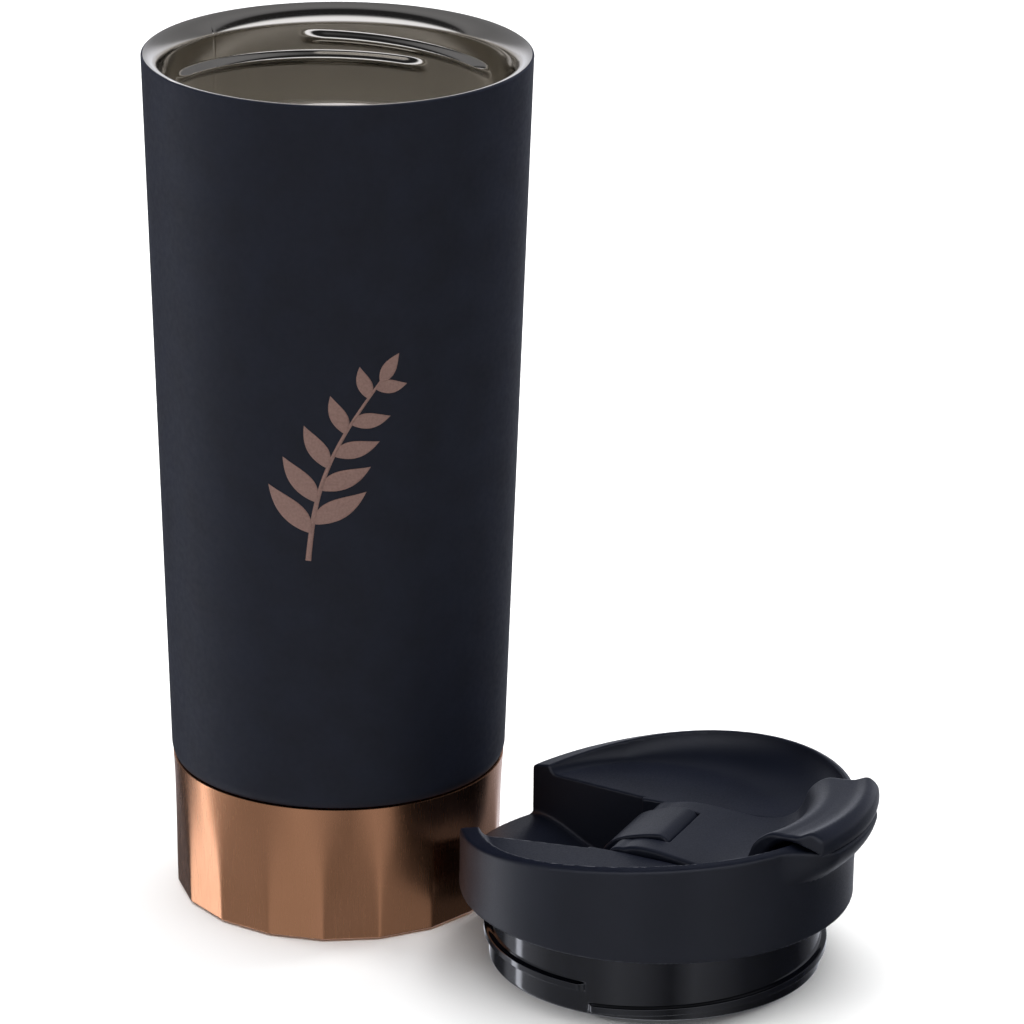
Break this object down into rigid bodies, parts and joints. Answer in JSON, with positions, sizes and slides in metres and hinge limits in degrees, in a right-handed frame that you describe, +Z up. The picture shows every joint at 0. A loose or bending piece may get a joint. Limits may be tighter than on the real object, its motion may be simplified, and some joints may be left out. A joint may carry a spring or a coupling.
{
  "type": "insulated tumbler with lid",
  "caption": "Tapered double-wall travel tumbler with a faceted metal base, and a screw lid with a flip lever over its drinking hole standing beside it.",
  "frame": {"origin": "centre of the tumbler's base pad, on the surface that the tumbler and its lid stand on", "axes": "+Z up along the tumbler's axis; the lid stands to +X and -Y of the tumbler, with its thumb tab pointing away from it"},
  "size_m": [0.1619, 0.125, 0.1937],
  "materials": {
    "wall_paint": "fine matte powder coat, navy black",
    "liner_steel": "brushed stainless steel with a polished rolled lip",
    "foil_copper": "bright copper foil",
    "base_copper": "satin copper plating over cut facets",
    "bottom_steel": "plain stainless steel disc",
    "seal_glass": "dark sealing glass bead",
    "getter_metal": "sintered grey tablet",
    "pad_silicone": "matte black silicone pad",
    "shell_plastic": "fine spark-eroded matte black plastic",
    "plug_plastic": "polished black plastic",
    "lid_foam": "white moulded bead foam",
    "gasket_silicone": "black silicone ring",
    "clip_plastic": "matte black plastic",
    "pin_steel": "drawn stainless steel pin",
    "lever_plastic": "matte black plastic",
    "spout_silicone": "soft black silicone",
    "vent_silicone": "soft black silicone"
  },
  "bodies": {
    "tumbler": {"outer_wall": "wall_paint", "inner_liner": "liner_steel", "radiation_foil": "foil_copper", "copper_base": "base_copper", "outer_bottom": "bottom_steel", "vacuum_seal": "seal_glass", "getter_tablet": "getter_metal", "base_pad": "pad_silicone"},
    "lid_ring": {"rim_gasket": "gasket_silicone"},
    "lid": {"lid_shell": "shell_plastic", "thread_plug": "plug_plastic", "foam_disc": "lid_foam", "hinge_clip": "clip_plastic", "hinge_pin": "pin_steel"},
    "lever": {"flip_lever": "lever_plastic", "spout_seal": "spout_silicone", "vent_seal": "vent_silicone"}
  },
  "joints": [
    {"name": "lid_lift", "type": "slide", "parent": "tumbler", "child": "lid_ring", "axis": [0.1219, -0.0672, 0.9903], "range_m": [0, 0.22]},
    {"name": "lid_turn", "type": "hinge", "parent": "lid_ring", "child": "lid", "pos_m": [0.07108, -0.03922, 0.0163], "axis": [0, 0, 1], "range_deg": [-110, 110]},
    {"name": "lever_flip", "type": "hinge", "parent": "lid", "child": "lever", "pos_m": [0.06833, -0.03801, 0.0265], "axis": [-0.4026, -0.9154, 0], "range_deg": [0, 120]}
  ]
}
